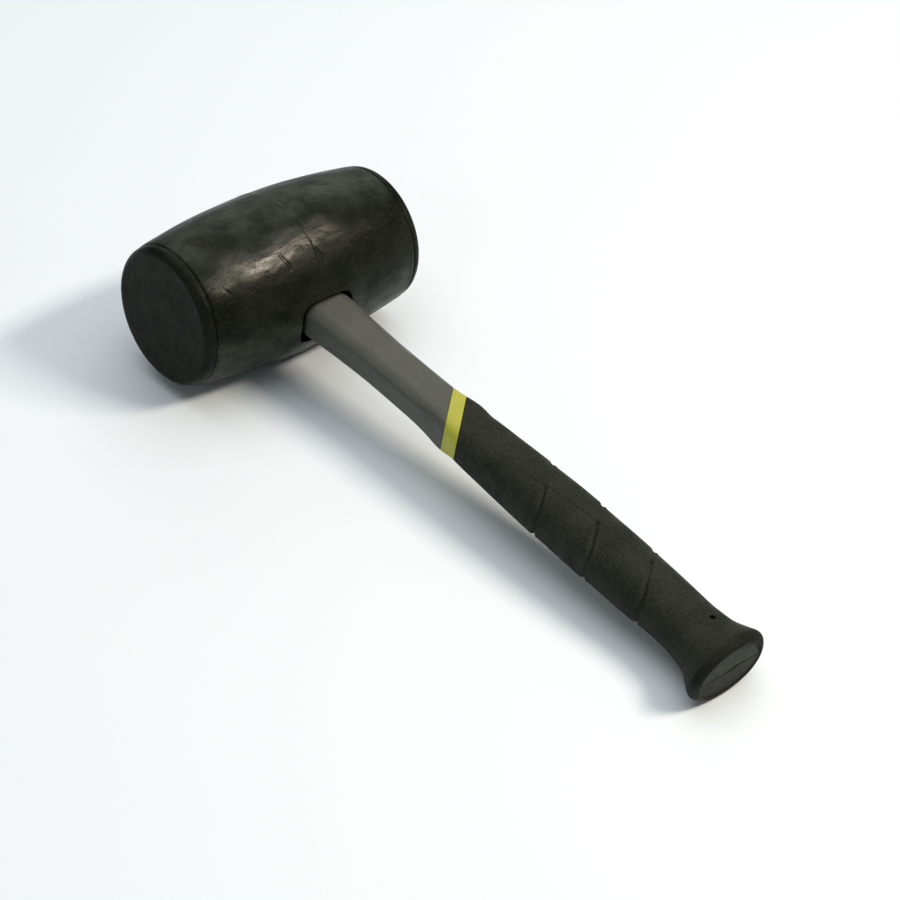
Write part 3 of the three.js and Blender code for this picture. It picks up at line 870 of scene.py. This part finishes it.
def butt_plastic():
    """Dull plastic, with painted shade on the slope under the ridge, so it is darker there than
    above it.
    """
    s = Surface("butt_plastic", 0.55, 0.14)
    # Painted shade on the slope under the ridge.
    painted_shade_below_ridge = s.ramp(s.separate()[2], butt_end.z + 0.0004, butt_end.z - 0.0004)
    cloud = s.ramp(s.noise(240, 5, 0.65), 0.35, 0.68)
    upper_colour = s.mix(cloud, (0.022, 0.028, 0.018), (0.034, 0.040, 0.028))
    painted_shade_colour = s.mix(cloud, (0.0095, 0.0112, 0.0066), (0.0185, 0.0192, 0.0125))
    s.colour(s.mix(painted_shade_below_ridge, upper_colour, painted_shade_colour))
    s.normal(s.bump(s.noise(900, 4, 0.65), 0.0002, 0.6))
    return s.material


def yellow_plastic():
    s = Surface("accent_plastic", 0.42)
    dirt = s.ramp(s.noise(260, 5, 0.65), 0.52, 0.75, 0.0, 0.35)
    s.colour(s.mix(dirt, (0.385, 0.385, 0.036), (0.27, 0.26, 0.04)))
    s.roughness(s.ramp(s.noise(400, 3), 0.3, 0.7, 0.36, 0.52))
    s.normal(s.bump(s.noise(1800, 3, 0.5), 0.00008, 0.3))
    return s.material


def fibreglass():
    s = Surface("fibreglass", 0.4)
    fibres = s.noise(900, 3, 0.6, s.stretched((1, 0.03, 1)))
    s.colour(s.mix(s.ramp(fibres, 0.35, 0.65), (0.50, 0.42, 0.20), (0.66, 0.58, 0.34)))
    s.normal(s.bump(fibres, 0.0001, 0.5))
    return s.material


def epoxy():
    s = Surface("epoxy", 0.35)
    cloud = s.ramp(s.noise(200, 4), 0.4, 0.65)
    s.colour(s.mix(cloud, (0.02, 0.018, 0.012), (0.04, 0.034, 0.022)))
    s.normal(s.bump(s.noise(500, 4, 0.6), 0.0003, 0.6))
    return s.material


def pale_floor():
    s = Surface("floor", 0.8)
    tint = s.ramp(s.noise(3, 2), 0.3, 0.7)
    s.colour(s.mix(tint, (0.79, 0.855, 0.955), (0.80, 0.865, 0.96)))
    return s.material


def dress(piece, material, slot, *nodes):
    """Gives a piece its material, puts it on the body and hides what it stands for. `slot` is not
    used.
    """
    piece.data.materials.clear()
    piece.data.materials.append(material)
    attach(piece, "root")
    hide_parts(*nodes)


grip_material = grip_rubber()
dress(make_head(), head_rubber(), "head_rubber", "rubber_head")
dress(make_plug(), grip_material, "grip_rubber", "eye_plug")
dress(make_shank(), grey_plastic(), "shank_plastic", "shank_jacket")
dress(make_band(), yellow_plastic(), "accent_plastic", "accent_band")
dress(make_grip(), grip_material, "grip_rubber", "grip_sleeve")
dress(make_insert(), butt_plastic(), "butt_plastic", "butt_insert")
for node, material in (("handle_core", fibreglass()), ("eye_bond", epoxy())):
    frame["nodes"][node].data.materials.clear()
    frame["nodes"][node].data.materials.append(material)

# ---------------------------------------------------------------------------------------
# Floor, light and camera
# ---------------------------------------------------------------------------------------
FLOOR_SIZE = 12.0


def make_floor():
    mesh = bpy.data.meshes.new("floor")
    half = FLOOR_SIZE / 2
    corners = [(-half, -half, 0), (half, -half, 0), (half, half, 0), (-half, half, 0)]
    mesh.from_pydata(corners, [], [(0, 1, 2, 3)])
    floor = bpy.data.objects.new("floor", mesh)
    bpy.context.collection.objects.link(floor)
    mesh.materials.append(pale_floor())


def softbox(name, direction, distance, size, roll, power, colour):
    """A rectangular light that faces the frame's origin from `direction`."""
    data = bpy.data.lights.new(name, "AREA")
    data.shape = "RECTANGLE"
    data.size, data.size_y = size
    data.energy = power
    data.color = colour
    lamp = bpy.data.objects.new(name, data)
    bpy.context.collection.objects.link(lamp)
    back = Vector(direction).normalized()
    lamp.location = back * distance
    lamp.rotation_mode = "QUATERNION"
    turned = Matrix.Rotation(math.radians(roll), 3, "Z").to_quaternion()
    lamp.rotation_quaternion = back.to_track_quat("Z", "Y") @ turned


def make_camera(target, azimuth, elevation, roll, distance, lens):
    """Looks at `target` from `distance` metres away, with its angles in degrees."""
    turn, rise = math.radians(azimuth), math.radians(elevation)
    back = Vector((
        math.sin(turn) * math.cos(rise), -math.cos(turn) * math.cos(rise), math.sin(rise),
    ))
    data = bpy.data.cameras.new("camera")
    data.lens = lens
    data.sensor_width = 36
    camera = bpy.data.objects.new("camera", data)
    bpy.context.collection.objects.link(camera)
    facing = (-back).to_track_quat("-Z", "Y").to_matrix()
    camera.rotation_euler = (facing @ Matrix.Rotation(math.radians(roll), 3, "Z")).to_euler()
    camera.location = Vector(target) + back * distance
    bpy.context.scene.camera = camera


make_floor()
softbox("key", (0.44, -0.49, 0.73), 1.6, (0.6, 0.22), -28, 18.5, (1.0, 0.88, 0.70))
softbox("top", (0.05, 0.1, 1.0), 2.4, (3.2, 3.2), 0, 46, (1.0, 1.0, 0.97))
softbox("left", (-1.0, -0.2, 0.45), 2.2, (1.0, 1.0), 0, 5, (0.97, 1.0, 0.93))
softbox("back", (0.6, 0.75, 0.45), 2.2, (1.4, 0.8), 0, 6, (0.97, 1.0, 0.93))

world = bpy.data.worlds.new("studio")
world.use_nodes = True
world.node_tree.nodes["Background"].inputs["Color"].default_value = (0.95, 1.0, 0.92, 1)
world.node_tree.nodes["Background"].inputs["Strength"].default_value = 0.12
bpy.context.scene.world = world
bpy.context.scene.view_settings.view_transform = "Standard"

make_camera(
    target=(0.0012, 0.0081, 0.0121), azimuth=-47.11, elevation=37.03, roll=6.77, distance=1.15,
    lens=102.4,
)
